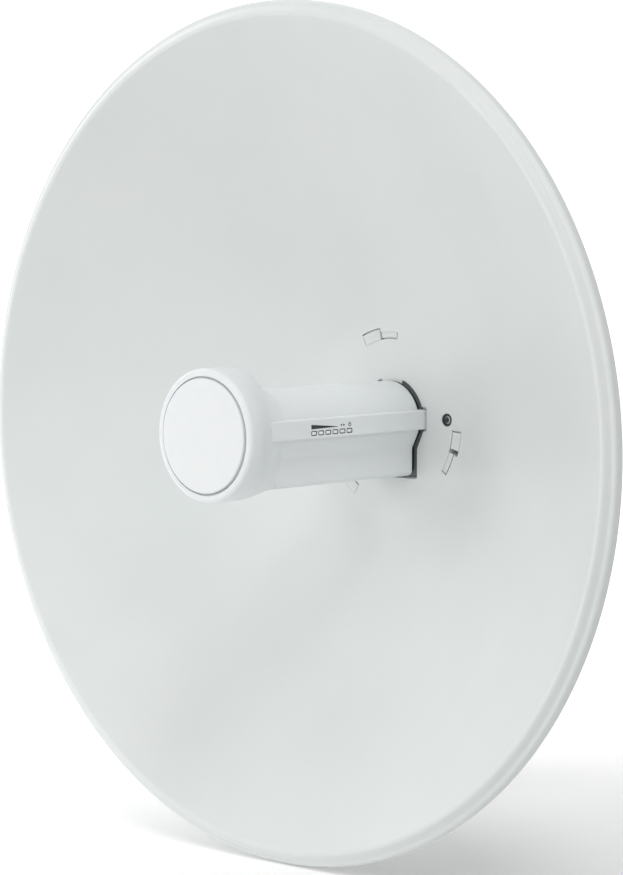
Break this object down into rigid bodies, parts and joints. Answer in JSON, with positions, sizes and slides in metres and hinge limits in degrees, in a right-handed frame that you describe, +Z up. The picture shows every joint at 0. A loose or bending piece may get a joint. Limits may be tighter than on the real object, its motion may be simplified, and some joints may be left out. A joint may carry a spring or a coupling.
{
  "type": "wireless bridge dish antenna",
  "caption": "Round white pressed steel dish antenna with a radio in a plastic feed tube on its axis, a plastic rear housing, and a tilting steel bracket that clamps to a pole.",
  "frame": {"origin": "middle of the flat pad on the back of the pole bracket, where it rests on the pole", "axes": "+Z up, -Y the way the dish looks, +Y out of the pad into the pole, +X the side of the feed that has the signal lights"},
  "size_m": [0.52, 0.3215, 0.52],
  "materials": {
    "dish_paint": "smooth white powder coat",
    "feed_plastic": "white moulding, satin to gloss",
    "light_guide": "clear moulding",
    "dark_plastic": "dark moulding",
    "grey_rubber": "soft grey rubber",
    "housing_plastic": "fine grained white moulding",
    "zinc_steel": "zinc plated, satin"
  },
  "bodies": {
    "root": {"dish_reflector": "dish_paint", "feed_head": "feed_plastic", "feed_front_disc": "feed_plastic", "feed_upper_shell": "feed_plastic", "feed_lower_shell": "feed_plastic", "feed_light_rail": "feed_plastic", "feed_plain_rail": "feed_plastic", "signal_light_guide": "light_guide", "feed_tail": "dark_plastic", "lock_screw_bush": "dark_plastic", "feed_gasket": "grey_rubber", "cable_grommet": "grey_rubber", "rear_housing": "housing_plastic", "cable_door": "housing_plastic", "lock_screw": "zinc_steel", "tilt_bracket": "zinc_steel", "pole_bracket": "zinc_steel", "pivot_bolt": "zinc_steel", "pivot_nut": "zinc_steel", "pivot_spacer": "zinc_steel", "tilt_lock_bolt": "zinc_steel", "tilt_lock_nut": "zinc_steel", "upper_pole_clamp": "zinc_steel", "lower_pole_clamp": "zinc_steel", "tilt_bracket_bolt_1": "zinc_steel", "tilt_bracket_bolt_2": "zinc_steel", "tilt_bracket_bolt_3": "zinc_steel", "tilt_bracket_bolt_4": "zinc_steel", "clamp_bolt_1": "zinc_steel", "clamp_bolt_2": "zinc_steel", "clamp_bolt_3": "zinc_steel", "clamp_bolt_4": "zinc_steel", "clamp_nut_1": "zinc_steel", "clamp_nut_2": "zinc_steel", "clamp_nut_3": "zinc_steel", "clamp_nut_4": "zinc_steel"}
  },
  "joints": []
}
